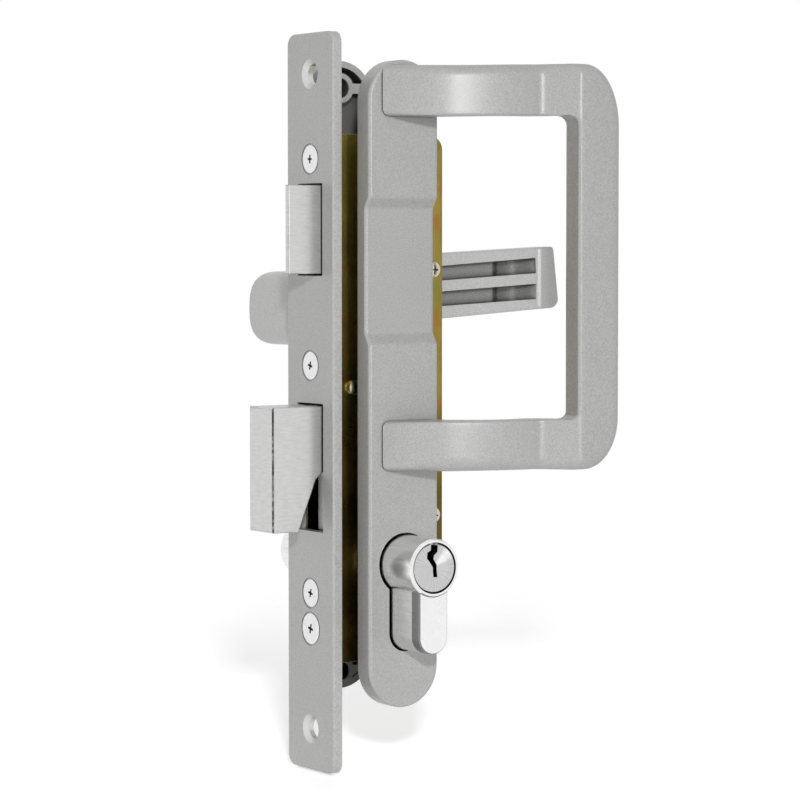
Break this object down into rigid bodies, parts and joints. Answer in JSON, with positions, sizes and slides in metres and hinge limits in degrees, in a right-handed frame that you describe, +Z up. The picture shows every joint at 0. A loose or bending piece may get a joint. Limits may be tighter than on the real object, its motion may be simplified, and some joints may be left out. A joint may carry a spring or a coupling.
{
  "type": "door handle lock",
  "caption": "Narrow-stile mortice lock with sprung latch, beaked deadbolt, profile cylinder, outside pull handle and inside lever.",
  "frame": {"origin": "middle of the faceplate's two fixing holes, on the back of the faceplate, where it seats on the door's edge", "axes": "+X into the door from the faceplate, +Y to the inside of the room, -Y to the outside, +Z up"},
  "size_m": [0.1394, 0.0975, 0.216],
  "materials": {
    "satin_paint": "satin metallic paint",
    "satin_nickel": "satin plated",
    "bright_zinc": "bright plated",
    "yellow_zinc": "yellow passivated zinc",
    "plain_steel": "plain sintered or turned steel",
    "spring_steel": "drawn spring wire and strip",
    "cylinder_nickel": "satin nickel on brass",
    "nylon": "moulded"
  },
  "bodies": {
    "lock": {"faceplate": "satin_paint", "faceplate_screws": "bright_zinc", "cylinder_fixing_screw": "bright_zinc", "case_body": "yellow_zinc", "case_cover": "yellow_zinc", "case_pillars": "plain_steel", "cover_screws": "bright_zinc", "latch_spring": "spring_steel", "follower_spring": "spring_steel", "bolt_detent_spring": "spring_steel", "cylinder_body": "cylinder_nickel", "outside_plate": "satin_paint", "inside_plate": "satin_paint", "pull_handle": "satin_paint", "handle_screws": "bright_zinc", "lever_bush": "nylon"},
    "latch": {"latch_bolt": "satin_nickel"},
    "lever": {"follower": "plain_steel", "spindle": "bright_zinc", "inside_lever": "satin_paint", "lever_grub_screw": "plain_steel", "lever_circlip": "plain_steel"},
    "bolt": {"deadbolt": "satin_nickel"},
    "outside_core": {"outside_plug": "cylinder_nickel", "cylinder_cam": "plain_steel"},
    "inside_core": {"inside_plug": "cylinder_nickel"}
  },
  "joints": [
    {"name": "lever_turn", "type": "hinge", "parent": "lock", "child": "lever", "pos_m": [0.0169, 0, 0.027], "axis": [0, 1, 0], "range_deg": [0, 40], "stiffness_Nm_per_rad": 0.8, "springref_deg": -28.65, "deforming": ["follower_spring"]},
    {"name": "latch_slide", "type": "slide", "parent": "lock", "child": "latch", "axis": [1, 0, 0], "range_m": [0, 0.0113], "deforming": ["latch_spring"]},
    {"name": "key_turn", "type": "hinge", "parent": "lock", "child": "outside_core", "pos_m": [0.0169, 0, -0.0466], "axis": [0, 1, 0], "range_deg": [0, 95.31]},
    {"name": "deadbolt_throw", "type": "slide", "parent": "lock", "child": "bolt", "axis": [1, 0, 0], "range_m": [0, 0.017], "deforming": ["bolt_detent_spring"]},
    {"name": "inside_key_turn", "type": "hinge", "parent": "lock", "child": "inside_core", "pos_m": [0.0169, 0.02, -0.0466], "axis": [0, 1, 0], "continuous": true}
  ],
  "couplings": [
    {"joint": "latch_slide", "follows": "lever_turn", "m_per_rad": 0.016186},
    {"joint": "key_turn", "follows": "deadbolt_throw", "rad_per_m": 97.856}
  ]
}
